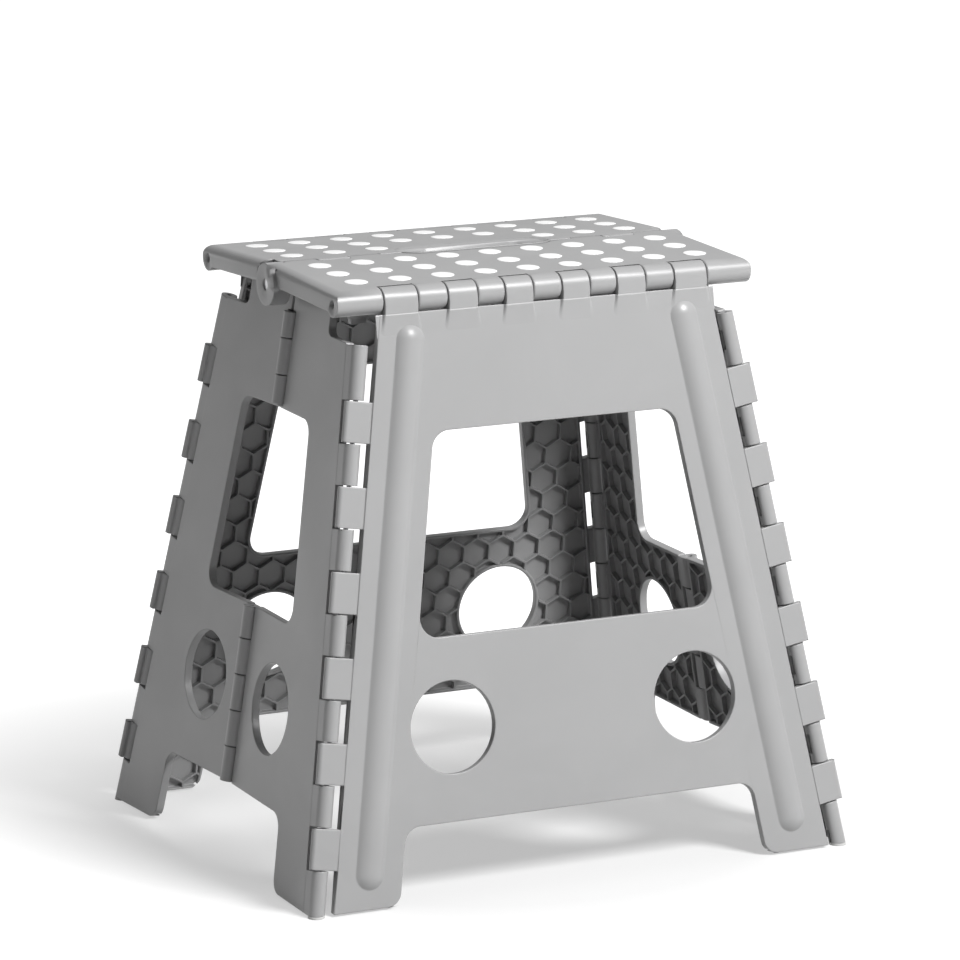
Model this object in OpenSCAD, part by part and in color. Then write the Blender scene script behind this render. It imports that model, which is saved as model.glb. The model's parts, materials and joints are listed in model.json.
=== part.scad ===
// Folding step stool: a two-leaf step on a front panel, a back panel and two folding sides.
// Origin: on the floor under the middle of the stool. X runs along the step, -Y is the front.
// The stool stands as it does unloaded, with both leaves and both sides a little short of flat.

/* [Step] */
// Height of the step above the floor when its leaves lie flat
step_h = 390; // [330:1:450]
// Length of the step
step_len = 298.6; // [280:0.2:320]
// Distance from a leaf's outer hinge to the centre hinge
leaf_d = 97.5; // [90:0.5:105]
// Rise of each leaf toward the centre while unloaded, in degrees
leaf_tilt = 2; // [1:0.1:3]
// Depth of a leaf's rim
leaf_t = 14; // [13.6:0.1:14.1]
// Thickness of a leaf's tread
tread_t = 2.6; // [2:0.1:3.2]
// Radius of the knuckles along the outer edges of the step
edge_r = 8.5; // [8:0.1:8.8]
// Depth of the centre hinge axis below the tread
centre_depth = 14.2; // [14.2:0.1:14.6]
// Radius of the round bosses at the ends of the centre hinge
boss_r = 14; // [12:0.1:14.1]
// Rounding along the ends of the step
end_r = 6; // [3:0.5:7]
// Width of the finger slot in the middle of the step
slot_w = 74; // [60:1:90]
// Depth of the finger slot, front to back
slot_d = 14; // [12:0.5:15]
// Length of the dished surround of the finger slot
dish_w = 110; // [100:1:114]
// Diameter of the non-slip dots
dot_d = 16; // [10:0.5:18]
// Spacing of the dots along the step
dot_pitch_x = 30.7; // [28:0.1:32]
// Spacing of the dots across a leaf
dot_pitch_y = 27.7; // [24:0.1:28]

/* [Panels] */
// Lean of the front and back panels, in degrees
panel_lean = 9; // [8:0.1:10]
// Lean of the sides, in degrees
side_lean = 9; // [8:0.1:10]
// Angle by which each side half is folded in from flat while unloaded, in degrees
side_bend = 2.5; // [1:0.1:3.5]
// Half the distance between the left and right corner hinges at the height of the step's hinges
corner_x = 127.6; // [122:0.1:132]
// Thickness of the front and back panels, ribs included
panel_t = 5.4; // [5:0.1:5.5]
// Thickness of the sides, ribs included
side_t = 5.4; // [5:0.1:5.5]
// Thickness of the smooth outer wall of panels and sides
skin_t = 1.9; // [1.4:0.1:2.4]
// Thickness of the walls round edges and openings
wall_t = 2; // [1.6:0.1:2.6]
// Thickness of the honeycomb ribs
rib_t = 1.4; // [1:0.1:2]
// Width of a honeycomb cell across its flats
cell_w = 19.5; // [18:0.5:26]

/* [Openings] */
// Height of the windows' upper edge above the floor
window_top = 297.5; // [285:0.5:300]
// Height of the windows' lower edge above the floor
window_low = 167.5; // [160:0.5:180]
// Half the width of the front window at its upper edge
window_half_w = 89; // [84:0.5:92]
// Half the width of a side window at its upper edge
side_window_half_w = 54; // [48:0.5:58]
// Corner radius of the windows
window_r = 13; // [8:0.5:16]
// Radius of the round holes
hole_r = 30; // [24:0.5:31]
// Height of the round holes' centres above the floor
hole_z = 110; // [105:0.5:115]
// Distance of the front holes from the middle
hole_x = 88; // [80:0.5:94]
// Distance of the side holes from the fold line
side_hole_x = 54; // [46:0.5:60]
// Height of the arches between the feet
arch_z = 50; // [40:0.5:56]
// Half the width of the front arch at the floor
arch_half_w = 136; // [128:0.5:140]
// Half the width of a side arch at the floor
side_arch_half_w = 101; // [94:0.5:106]

/* [Hinges] */
// Depth of the corner hinge axes below the outer faces
corner_in = 5.5; // [5.5:0.05:5.6]
// Radius of the corner and side knuckles
knuckle_r = 5.4; // [5:0.1:5.4]
// Distance of the side fold axes outside the outer faces
fold_out = 0.1; // [0.1:0.05:0.2]
// Radius of the hinge pins
pin_r = 1.6; // [1.2:0.1:2]
// Radial clearance of a pin in its bore
bore_clear = 0.06; // [0.04:0.01:0.09]
// Length of one corner knuckle
corner_knuckle = 26.45; // [26:0.05:27]
// Height of the lowest panel tab above the floor
first_tab_z = 29.2; // [27:0.1:31]
// Gap between neighbouring knuckles along a hinge
knuckle_gap = 0.8; // [0.6:0.1:1.2]
// Height of the feet of panels and sides above the floor, filled by the pads
foot_lift = 1.6; // [1:0.1:2.4]

/* [Hidden] */
$fn = 48;

plastic = "#b9bbbd";
white = "#f4f4f2";
steel = "#8f9498";
rubber = "#d9dadb";
over = 1;                     // overrun of every cut past the face it leaves
far = 600;                    // larger than the whole stool
blend = 0.08;                 // hinge blocks stop this far inside the faces of their plates
fit = 0.05;                   // play between the rib layers and the walls round them

// Step: where its hinges stand
hinge_drop = centre_depth - edge_r;
axis_z = step_h - edge_r;
axis_d = leaf_d * cos(leaf_tilt) + hinge_drop * sin(leaf_tilt);
under_t = edge_r - leaf_t;    // underside of a leaf's rim, from its outer axis
hinge_gap = 0.5;              // between a knuckle and the scoop round it
edge_knuckles = [10.35, 30.6, 50.2, 71.3, 92.4, 116.6];
leaf_wall = 2.2;
setback = 11;                 // a leaf's centre wall, from the centre axis
seam_gap = 0.6;
seam_in = 2.6;                // the seam's middle line, in front of the centre
seam_reach = 3;               // reach of the seam's tongues from that line
slot_in = 4.5;                // finger slot's middle, behind the centre
dish_d = 26;
dish_depth = 1.7;
dish_rim = 1.2;
tongue_x = [70, 93, 116, 139];
boss_x = 139.6;
boss_end = 151.7;
centre_knuckle_r = 7;
centre_knuckle_len = 13;
front_centre_x = [66, 94];
back_centre_x = [80, 108];
centre_pin_in = 64;
// Play of the centre hinge: the back leaf's bores lie off the axis by this much
play_y = 1.7;
play_z = 1.9;
play_r = 2.7;
loose_knuckle_r = 6.8;
dots_long = 9;
dots_across = 3;
first_dot = 20.8;             // from the outer hinge axis
dot_h = 0.7;
lug_w = 12;
lug_t = 5;
lug_h = 8.5;
lug_x = 124;
lug_in = 13.5;
edge_bore_r = 3.2;
edge_bore_depth = 5;
head_r = 3.6;
head_t = 2;
head_bore_r = 4;
head_bore_depth = 3.2;

// Panels and sides: planes, corner axis and frames
panel_out = fold_out + 2 * corner_in - hinge_drop;
n_front = [0, -cos(panel_lean), sin(panel_lean)];
up_front = [0, sin(panel_lean), cos(panel_lean)];
n_side = [-cos(side_lean) * cos(side_bend), cos(side_lean) * sin(side_bend), sin(side_lean)];
up_side = [sin(side_lean) * cos(side_bend), -sin(side_lean) * sin(side_bend), cos(side_lean)];
along_side = [-sin(side_bend), -cos(side_bend), 0];
corner_raw = cross(n_side, n_front);
corner_dir = corner_raw / norm(corner_raw);
corner_pt = [-corner_x, -axis_d - (panel_out - corner_in) / cos(panel_lean), axis_z];
corner_v = -(panel_out - corner_in) * tan(panel_lean);
skew_front = atan2(corner_dir[0], corner_dir * up_front);
skew_side = atan2(corner_dir * along_side, corner_dir * up_side);
side_y = -fold_out * n_side[1];
side_reach = (side_y - corner_in * n_side[1] - corner_pt[1]) / cos(side_bend);
side_pt = [corner_pt[0] + side_reach * sin(side_bend) + corner_in * n_side[0], side_y,
           axis_z + corner_in * n_side[2]];
fold_skew = atan(sin(side_lean) * tan(side_bend));
edge_in = 10;                 // a panel's edge, inboard of the corner axis
side_edge_in = 9;             // a side's edge, from the corner axis
tab_reach = 8.8;              // a panel tab past the corner axis
tabs = 6;
corner_top_z = 355;
side_top_z = 372.4;
notch_x = 62;
notch_r = 6;
hole_wall = wall_t;
arch_r = 12;
foot_r = 10;
side_window_r = 11;
leg_flare_share = 0.16;       // sideways run of the legs and windows for each unit of drop
side_flare_share = 0.13;
fold_edge = 0.4;
fold_notch = knuckle_r + 0.7;
fold_strip = fold_notch + wall_t;
upper_folds = [298.7, 318, 342, 359.5];
lower_folds = [49.2, 72.8, 96.7, 120.6, 144.5, 166.3];
fold_loose = 0.5;             // extra play of the right side's back knuckles on their pins
bead_w = 19.6;
bead_h = 4;
bead_in = 23;                 // bead's middle line, inboard of the panel's edge
bead_top = 360;
bead_low = 14;
panel_ramp = 20;
pocket_w = 3;
pocket_l = 13;
pocket_depth = 2.4;
strip_rib_in = 13;
strip_pitch = 24;
corner_pin_top = 352;
corner_pin_low = 6;
pin_short = 1.5;              // how far a fold pin stops short of its last knuckle's end

// Height on the outer face of a panel or side, turned into distance up the slope
function front_v(z) = (z - axis_z - panel_out * sin(panel_lean)) / cos(panel_lean);
function side_v(z) = (z - side_pt[2]) / cos(side_lean);
function edge_x(v) = corner_x - edge_in - (v - corner_v) * tan(skew_front);
function side_edge_x(v) = side_reach + v * tan(skew_side) - side_edge_in;
function fold_x(v) = -v * tan(fold_skew);

// Closed outline round a convex ring of centres, given anticlockwise, with true arcs of radius r
module rounded(centres, r) {
    n = len(centres);
    normals = [for (i = [0 : n - 1]) let (d = centres[(i + 1) % n] - centres[i]) [d[1], -d[0]] / norm(d)];
    polygon([for (i = [0 : n - 1]) each [centres[i] + r * normals[(i + n - 1) % n], centres[i] + r * normals[i]]]);
    for (c = centres) translate(c) circle(r);
}

// Prism along X from a profile drawn in the plane across it
module along_x(x1, x2) {
    translate([x1, 0, 0]) rotate([90, 0, 90]) linear_extrude(x2 - x1) children();
}

// Prism down the local Y axis, from its upper end
module down_y(length) {
    rotate([90, 0, 0]) linear_extrude(length) children();
}

module both_ends() {
    children();
    mirror([1, 0, 0]) children();
}

module place_leaf() {
    translate([0, -axis_d, axis_z]) rotate([leaf_tilt, 0, 0]) children();
}

module place_panel() {
    translate([0, -axis_d, axis_z]) rotate([90 - panel_lean, 0, 0]) children();
}

module place_side() {
    translate(side_pt) rotate([0, 0, -90 - side_bend]) rotate([90 - side_lean, 0, 0]) children();
}

// On the left corner axis at height z, in the front panel's frame
module panel_corner(z) {
    translate([-corner_x, corner_v, panel_out - corner_in]) rotate([0, 0, -skew_front])
        translate([0, (z - axis_z) / corner_dir[2], 0]) children();
}

// On the corner axis at height z, in a side's frame
module side_corner(z) {
    translate([side_reach, 0, -corner_in]) rotate([0, 0, -skew_side])
        translate([0, (z - axis_z) / corner_dir[2], 0]) children();
}

// On the fold axis at height z, in a side's frame
module side_fold(z) {
    translate([0, 0, fold_out]) rotate([0, 0, fold_skew])
        translate([0, (z - axis_z) / cos(side_lean), 0]) children();
}

module above_floor(z) {
    difference() {
        children();
        translate([-far / 2, -far / 2, z - far]) cube([far, far, far]);
    }
}

// Leaves of the step

// The tread reaches past the centre by the given length, or stops short of it if negative
module leaf_profile(past) {
    circle(edge_r);
    translate([0, under_t]) square([leaf_d - setback, leaf_t]);
    translate([0, edge_r - tread_t]) square([leaf_d + past - seam_gap / 2, tread_t]);
}

module leaf_end_profile() {
    half = step_len / 2;
    difference() {
        translate([-half, -edge_r - over]) square([step_len, 2 * edge_r + over]);
        for (side = [-1, 1]) difference() {
            translate([side * (half - end_r / 2 + over / 2) - (end_r + over) / 2, edge_r - end_r])
                square([end_r + over, end_r + over]);
            translate([side * (half - end_r), edge_r - end_r]) circle(end_r);
        }
    }
}

module centre_arm(x, r, y_off, z_off) {
    translate([x, leaf_d - y_off, -hinge_drop + z_off]) rotate([0, 90, 0])
        cylinder(h = centre_knuckle_len, r = r);
    translate([x, leaf_d - setback - leaf_wall, under_t])
        cube([centre_knuckle_len, setback + leaf_wall - y_off, r - hinge_drop + z_off - under_t]);
}

module leaf_blank(past) {
    intersection() {
        along_x(-step_len / 2, step_len / 2) leaf_profile(past);
        translate([0, leaf_d + edge_r, 0]) down_y(leaf_d + 3 * edge_r) leaf_end_profile();
    }
}

module leaf_hollow() {
    inner = edge_r + hinge_gap + leaf_wall;
    translate([-step_len / 2 + leaf_wall, inner, under_t - over])
        cube([step_len - 2 * leaf_wall, leaf_d - setback - leaf_wall - inner, leaf_t - tread_t + over]);
}

// Room for the panel's knuckles along the outer edge
module edge_scoops() {
    both_ends() for (i = [0, 2, 4])
        along_x(edge_knuckles[i] - knuckle_gap / 2, edge_knuckles[i + 1] + knuckle_gap / 2)
            circle(edge_r + hinge_gap);
}

module edge_bores() {
    along_x(-far / 2, far / 2) circle(pin_r + bore_clear);
    both_ends() along_x(step_len / 2 - edge_bore_depth, far / 2) circle(edge_bore_r);
}

module seam_notch(x1, x2, past) {
    translate([x1, leaf_d + past - seam_reach - seam_gap, under_t])
        cube([x2 - x1, seam_reach + 2 * seam_gap, leaf_t + over]);
}

module seam_tongue(x1, x2, past) {
    translate([x1 + seam_gap / 2, leaf_d + past - seam_gap, edge_r - tread_t])
        cube([x2 - x1 - seam_gap, seam_reach + seam_gap, tread_t]);
}

// Outline of the dished surround, in the back leaf's frame
module dish_outline(grow) {
    reach = (dish_w - dish_d) / 2;
    translate([0, leaf_d - slot_in]) {
        for (side = [-1, 1]) translate([side * reach, 0]) circle(dish_d / 2 + grow, $fn = 96);
        translate([-reach, -dish_d / 2 - grow]) square([2 * reach, dish_d + 2 * grow]);
    }
}

module step_front_leaf() {
    color(plastic) place_leaf() difference() {
        union() {
            difference() {
                leaf_blank(-seam_in);
                leaf_hollow();
                both_ends() seam_notch(tongue_x[1], tongue_x[2], -seam_in);
                // Room for the back leaf's rounded lobe with the finger slot
                translate([0, 2 * leaf_d, edge_r - tread_t - over]) mirror([0, 1, 0])
                    linear_extrude(tread_t + 2 * over) dish_outline(dish_rim + seam_gap);
            }
            both_ends() {
                seam_tongue(tongue_x[0], tongue_x[1], -seam_in);
                seam_tongue(tongue_x[2], tongue_x[3], -seam_in);
                for (x = front_centre_x) centre_arm(x, centre_knuckle_r, 0, 0);
                translate([boss_x, leaf_d, -hinge_drop]) rotate([0, 90, 0]) cylinder(h = boss_end - boss_x, r = boss_r, $fn = 96);
                translate([boss_x, leaf_d - setback - leaf_wall, under_t])
                    cube([step_len / 2 - end_r - boss_x, setback + leaf_wall, leaf_t - end_r]);
                translate([lug_x - lug_w / 2, lug_in, under_t - lug_h]) cube([lug_w, lug_t, lug_h + leaf_t - tread_t + fit]);
            }
        }
        edge_scoops();
        edge_bores();
        translate([0, leaf_d, -hinge_drop]) {
            along_x(-far / 2, far / 2) circle(pin_r + bore_clear);
            both_ends() along_x(boss_end - head_bore_depth, far / 2) circle(head_bore_r);
        }
    }
}

module finger_slot() {
    reach = (slot_w - slot_d) / 2;
    translate([0, leaf_d - slot_in, -far / 2]) linear_extrude(far) {
        for (side = [-1, 1]) translate([side * reach, 0]) circle(slot_d / 2);
        translate([-reach, -slot_d / 2]) square([2 * reach, slot_d]);
    }
}

module step_back_leaf() {
    trough_w = dish_d / 2 + over;
    trough_r = (trough_w * trough_w + dish_depth * dish_depth) / (2 * dish_depth);
    color(plastic) mirror([0, 1, 0]) place_leaf() difference() {
        union() {
            difference() {
                leaf_blank(seam_in);
                leaf_hollow();
                both_ends() {
                    seam_notch(tongue_x[0], tongue_x[1], seam_in);
                    seam_notch(tongue_x[2], tongue_x[3], seam_in);
                    translate([boss_x - seam_gap, leaf_d - play_y, -hinge_drop + play_z]) rotate([0, 90, 0])
                        cylinder(h = far, r = boss_r + play_r, $fn = 96);
                    translate([boss_x - seam_gap, leaf_d - play_y, under_t]) cube([far, far, leaf_t + over]);
                }
            }
            both_ends() {
                seam_tongue(tongue_x[1], tongue_x[2], seam_in);
                for (x = back_centre_x) centre_arm(x, loose_knuckle_r, play_y, play_z);
            }
            // Wall round the finger slot, down to the underside
            translate([-slot_w / 2 - leaf_wall, leaf_d - slot_in - slot_d / 2 - leaf_wall, under_t])
                cube([slot_w + 2 * leaf_wall, slot_d + 2 * leaf_wall, leaf_t - tread_t / 2]);
            translate([0, 0, edge_r - tread_t]) linear_extrude(tread_t) intersection() {
                dish_outline(dish_rim);
                translate([-far / 2, leaf_d - setback]) square([far, far]);
            }
        }
        edge_scoops();
        edge_bores();
        finger_slot();
        translate([0, leaf_d - play_y, -hinge_drop + play_z])
            both_ends() along_x(centre_pin_in, boss_x) circle(pin_r + play_r);
        intersection() {
            translate([0, leaf_d - slot_in, 0]) along_x(-dish_w / 2, dish_w / 2)
                translate([0, edge_r - dish_depth + trough_r]) circle(trough_r, $fn = 96);
            linear_extrude(far) dish_outline(0);
        }
    }
}

// Straight ribs under a leaf
module leaf_rib_lines(gaps) {
    inner = edge_r + hinge_gap + leaf_wall + fit;
    outer = leaf_d - setback - leaf_wall - fit;
    half = step_len / 2 - leaf_wall - fit;
    depth = leaf_t - tread_t;
    count = 12;
    linear_extrude(depth) difference() {
        union() {
            for (i = [1 : count - 1]) translate([-half + i * 2 * half / count - rib_t / 2, inner])
                square([rib_t, outer - inner]);
            for (i = [1, 2]) translate([-half, inner + i * (outer - inner) / 3 - rib_t / 2])
                square([2 * half, rib_t]);
        }
        for (g = gaps) translate([g[0], g[1]]) square([g[2], g[3]]);
    }
}

module step_front_ribs() {
    clear = lug_w / 2 + rib_t;
    gaps = [for (side = [-1, 1]) [side * lug_x - clear, lug_in - rib_t, 2 * clear, lug_t + 2 * rib_t]];
    color(plastic) place_leaf() translate([0, 0, under_t]) leaf_rib_lines(gaps);
}

module step_back_ribs() {
    clear = lug_w / 2 + 2 * rib_t;
    slot_back = leaf_d - slot_in - slot_d / 2 - leaf_wall;
    gaps = concat(
        [for (side = [-1, 1]) [side * lug_x - clear, edge_r, 2 * clear, lug_t + lug_in]],
        [[-slot_w / 2 - leaf_wall - fit, slot_back - fit, slot_w + 2 * leaf_wall + 2 * fit, far]]
    );
    color(plastic) mirror([0, 1, 0]) place_leaf() translate([0, 0, under_t]) leaf_rib_lines(gaps);
}

module leaf_dots(missing) {
    for (i = [0 : dots_long - 1], j = [0 : dots_across - 1])
        if (!(missing && j == dots_across - 1 && abs(i - (dots_long - 1) / 2) <= 1))
            translate([(i - (dots_long - 1) / 2) * dot_pitch_x, first_dot + j * dot_pitch_y, edge_r])
                cylinder(h = dot_h, r = dot_d / 2);
}

module front_leaf_dots() {
    color(white) place_leaf() leaf_dots(false);
}

module back_leaf_dots() {
    color(white) mirror([0, 1, 0]) place_leaf() leaf_dots(true);
}

// Front and back panels

module panel_window(grow) {
    top_v = front_v(window_top) - window_r;
    low_v = front_v(window_low) + window_r;
    top_x = window_half_w - window_r;
    low_x = top_x + (top_v - low_v) * leg_flare_share;
    rounded([[-low_x, low_v], [low_x, low_v], [top_x, top_v], [-top_x, top_v]], window_r + grow);
}

module panel_arch(grow) {
    top_v = front_v(arch_z) - arch_r;
    low_v = front_v(0) - arch_r;
    low_x = arch_half_w - arch_r;
    top_x = low_x - (top_v - low_v) * leg_flare_share;
    rounded([[-low_x, low_v], [low_x, low_v], [top_x, top_v], [-top_x, top_v]], arch_r + grow);
}

// Rounding of a foot's inner lower corner, tangent to the leg's flared edge and to the floor
module foot_round(half_w, flare, floor_v, rise) {
    slope = sqrt(1 + flare * flare);
    edge = half_w - arch_r - (rise + arch_r) * flare + arch_r * slope;
    middle = [edge + foot_r * (slope - flare), floor_v + foot_r];
    touch = middle - foot_r * [1, flare] / slope;
    difference() {
        polygon([middle, touch, touch - 2 * over * [1, flare] / slope,
                 [touch[0] - foot_r, floor_v - foot_r], [middle[0], floor_v - foot_r]]);
        translate(middle) circle(foot_r);
    }
}

module panel_foot_rounds() {
    for (side = [0, 1]) mirror([side, 0, 0])
        foot_round(arch_half_w, leg_flare_share, front_v(foot_lift), foot_lift / cos(panel_lean));
}

module panel_outline(inset) {
    top_v = -edge_r - hinge_gap - inset;
    low_v = front_v(0) - foot_r;
    difference() {
        polygon([[-edge_x(low_v) + inset, low_v], [edge_x(low_v) - inset, low_v],
                 [edge_x(top_v) - inset, top_v], [-edge_x(top_v) + inset, top_v]]);
        panel_window(inset);
        panel_arch(inset);
        for (side = [-1, 1]) translate([side * hole_x, front_v(hole_z)]) circle(hole_r + inset, $fn = 96);
    }
}

module panel_core(inset) {
    low_v = front_v(foot_lift) + inset;
    difference() {
        panel_outline(inset);
        translate([-far / 2, low_v - far]) square([far, far]);
        translate([-far / 2, wall_t - inset - panel_ramp]) square([far, far]);
    }
}

// Knuckle along the panel's upper edge, blended into its face
module panel_top_knuckle() {
    circle(edge_r);
    polygon([[0, panel_out - panel_t], [0, edge_r], [-edge_r / 2, edge_r], [-panel_ramp, panel_out],
             [-panel_ramp, panel_out - panel_t]]);
}

module panel_tab() {
    nose_r = panel_t / 2 - blend;
    circle(knuckle_r);
    translate([nose_r - tab_reach, corner_in - panel_t + blend])
        square([tab_reach - nose_r + edge_in + wall_t / 2, 2 * nose_r]);
    translate([nose_r - tab_reach, corner_in - panel_t / 2]) circle(nose_r);
}

module panel_bead() {
    bead_r = (bead_w * bead_w / 4 + bead_h * bead_h) / (2 * bead_h);
    top_v = front_v(bead_top) - bead_w / 2;
    low_v = front_v(bead_low) + bead_w / 2;
    length = (top_v - low_v) / cos(skew_front);
    intersection() {
        translate([-edge_x(low_v) + bead_in, low_v, panel_out + bead_h - bead_r]) rotate([0, 0, -skew_front]) {
            rotate([-90, 0, 0]) cylinder(h = length, r = bead_r, $fn = 96);
            sphere(bead_r, $fn = 96);
            translate([0, length, 0]) sphere(bead_r, $fn = 96);
        }
        translate([-far / 2, -far, panel_out - skin_t / 2]) cube([far, far, far]);
    }
}

module panel_body() {
    inner_w = panel_out - panel_t;
    difference() {
        union() {
            difference() {
                translate([0, 0, inner_w]) linear_extrude(panel_t) difference() {
                    panel_outline(0);
                    panel_foot_rounds();
                }
                translate([0, 0, inner_w - over]) linear_extrude(panel_t - skin_t + over) panel_core(wall_t);
                along_x(-far / 2, far / 2) circle(edge_r + hinge_gap);
            }
            both_ends() {
                for (i = [0, 2, 4])
                    along_x(edge_knuckles[i] + knuckle_gap / 2, edge_knuckles[i + 1] - knuckle_gap / 2)
                        panel_top_knuckle();
                for (k = [0 : tabs - 1]) let (z = first_tab_z + (2 * k + 1) * corner_knuckle)
                    panel_corner(z) translate([0, -knuckle_gap / 2, 0])
                        down_y(corner_knuckle / corner_dir[2] - knuckle_gap) panel_tab();
                panel_bead();
            }
        }
        along_x(-far / 2, far / 2) circle(pin_r + bore_clear);
        both_ends() panel_corner(axis_z) down_y(far) circle(pin_r + bore_clear);
    }
}

// Grid of honeycomb cells, pointed end up, over a field of the given half-width and height range
module cells(half_w, low_v, top_v) {
    row_h = cell_w * sqrt(3) / 2;
    columns = ceil(half_w / cell_w);
    rows = ceil((top_v - low_v) / row_h);
    for (j = [0 : rows], i = [-columns : columns])
        translate([(i + (j % 2) / 2) * cell_w, low_v + j * row_h]) rotate(30)
            circle((cell_w - rib_t) / sqrt(3), $fn = 6);
}

module panel_ribs() {
    low_v = front_v(foot_lift);
    translate([0, 0, panel_out - panel_t]) linear_extrude(panel_t - skin_t) difference() {
        panel_core(wall_t + fit);
        cells(corner_x + 2 * edge_in + far / 16, low_v, -edge_r);
    }
}

module front_panel() {
    color(plastic) above_floor(foot_lift) place_panel() panel_body();
}

module back_panel() {
    color(plastic) above_floor(foot_lift) mirror([0, 1, 0]) place_panel() panel_body();
}

module front_panel_ribs() {
    color(plastic) place_panel() panel_ribs();
}

module back_panel_ribs() {
    color(plastic) mirror([0, 1, 0]) place_panel() panel_ribs();
}

// Folding sides, each in two halves

module side_window(grow) {
    top_v = side_v(window_top) - side_window_r;
    low_v = side_v(window_low) + side_window_r;
    top_x = side_window_half_w - side_window_r;
    low_x = top_x + (top_v - low_v) * side_flare_share;
    rounded([[-low_x, low_v], [low_x, low_v], [top_x, top_v], [-top_x, top_v]], side_window_r + grow);
}

module side_arch(grow) {
    top_v = side_v(arch_z) - arch_r;
    low_v = side_v(0) - arch_r;
    low_x = side_arch_half_w - arch_r;
    top_x = low_x - (top_v - low_v) * side_flare_share;
    rounded([[-low_x, low_v], [low_x, low_v], [top_x, top_v], [-top_x, top_v]], arch_r + grow);
}

module side_notch(grow) {
    low_v = side_v(corner_top_z) + notch_r;
    inner = notch_x + notch_r;
    rounded([[inner, low_v], [far, low_v], [far, far], [inner, far]], notch_r + grow);
}

module side_outline(inset, centre_inset) {
    low_v = side_v(0) - foot_r;
    top_v = side_v(side_top_z) - inset;
    difference() {
        polygon([[fold_x(low_v) + centre_inset, low_v], [side_edge_x(low_v) - inset, low_v],
                 [side_edge_x(top_v) - inset, top_v], [fold_x(top_v) + centre_inset, top_v]]);
        side_window(inset);
        side_arch(inset);
        side_notch(inset);
        translate([side_hole_x, side_v(hole_z)]) circle(hole_r + inset, $fn = 96);
    }
}

module side_foot_rounds() {
    foot_round(side_arch_half_w, side_flare_share, side_v(foot_lift), foot_lift / cos(side_lean));
}

module side_core(inset) {
    difference() {
        side_outline(inset, fold_strip + inset - wall_t);
        translate([-far / 2, side_v(foot_lift) + inset - far]) square([far, far]);
    }
}

function own_fold(list, back) = [for (i = [0 : len(list) - 2]) if ((i % 2 == 0) == back) [list[i], list[i + 1]]];

module fold_cut(z1, z2) {
    side_fold(z2) translate([-far / 2 + fold_notch, knuckle_gap / 2, 0])
        down_y((z2 - z1) / cos(side_lean) + knuckle_gap) square([far, 4 * side_t], center = true);
}

module fold_knuckle(z1, z2) {
    side_fold(z2) translate([0, -knuckle_gap / 2, 0]) down_y((z2 - z1) / cos(side_lean) - knuckle_gap) {
        circle(knuckle_r);
        translate([0, blend - side_t - fold_out]) square([fold_strip - fit, side_t - 2 * blend]);
    }
}

module corner_knuckle_block(z1, z2) {
    length = (z2 - z1) / corner_dir[2] - knuckle_gap;
    side_corner(z2) translate([0, -knuckle_gap / 2, 0]) difference() {
        down_y(length) {
            circle(knuckle_r);
            translate([-side_edge_in - wall_t / 2, corner_in - side_t + blend])
                square([side_edge_in + wall_t / 2, side_t - 2 * blend]);
        }
        // Cored pocket in the face toward the panel
        translate([-pocket_w / 2, -(length + pocket_l) / 2, -knuckle_r - over])
            cube([pocket_w, pocket_l, pocket_depth + over]);
    }
}

// One half of a side. The back halves carry the outer fold knuckles, the front halves those between.
module side_body(back, loose) {
    upper = own_fold(upper_folds, back);
    lower = own_fold(lower_folds, back);
    other_upper = own_fold(upper_folds, !back);
    other_lower = own_fold(lower_folds, !back);
    top_tab_z = first_tab_z + 2 * tabs * corner_knuckle - corner_knuckle;
    difference() {
        union() {
            difference() {
                translate([0, 0, -side_t]) linear_extrude(side_t) difference() {
                    side_outline(0, fold_edge);
                    side_foot_rounds();
                }
                translate([0, 0, -side_t - over]) linear_extrude(side_t - skin_t + over) side_core(wall_t);
                for (f = concat(upper, lower, other_upper, other_lower)) fold_cut(f[0], f[1]);
            }
            for (f = concat(upper, lower)) fold_knuckle(f[0], f[1]);
            corner_knuckle_block(-2 * foot_r, first_tab_z);
            for (k = [1 : tabs - 1])
                corner_knuckle_block(first_tab_z + (2 * k - 1) * corner_knuckle, first_tab_z + 2 * k * corner_knuckle);
            corner_knuckle_block(top_tab_z, corner_top_z);
        }
        side_corner(axis_z) down_y(far) circle(pin_r + bore_clear);
        side_fold(axis_z) down_y(far) circle(pin_r + bore_clear + loose);
    }
}

module side_ribs() {
    low_v = side_v(foot_lift);
    strip = fold_strip + strip_rib_in;
    translate([0, 0, -side_t]) linear_extrude(side_t - skin_t) {
        difference() {
            side_core(wall_t + fit);
            cells(side_reach + far / 8, low_v, side_v(side_top_z));
        }
    }
}

module left_side_front() {
    color(plastic) above_floor(foot_lift) place_side() side_body(false, 0);
}

module left_side_back() {
    color(plastic) above_floor(foot_lift) mirror([0, 1, 0]) place_side() side_body(true, 0);
}

module right_side_front() {
    color(plastic) above_floor(foot_lift) mirror([1, 0, 0]) place_side() side_body(false, 0);
}

module right_side_back() {
    color(plastic) above_floor(foot_lift) mirror([1, 0, 0]) mirror([0, 1, 0]) place_side() side_body(true, fold_loose);
}

module left_side_front_ribs() {
    color(plastic) place_side() side_ribs();
}

module left_side_back_ribs() {
    color(plastic) mirror([0, 1, 0]) place_side() side_ribs();
}

module right_side_front_ribs() {
    color(plastic) mirror([1, 0, 0]) place_side() side_ribs();
}

module right_side_back_ribs() {
    color(plastic) mirror([1, 0, 0]) mirror([0, 1, 0]) place_side() side_ribs();
}

// Pins and pads

module centre_hinge_pins() {
    color(steel) place_leaf() translate([0, leaf_d, -hinge_drop]) both_ends() {
        along_x(centre_pin_in, boss_end - head_t / 2) circle(pin_r);
        along_x(boss_end - head_t - head_t / 2, boss_end - head_t / 2) circle(head_r);
    }
}

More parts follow.
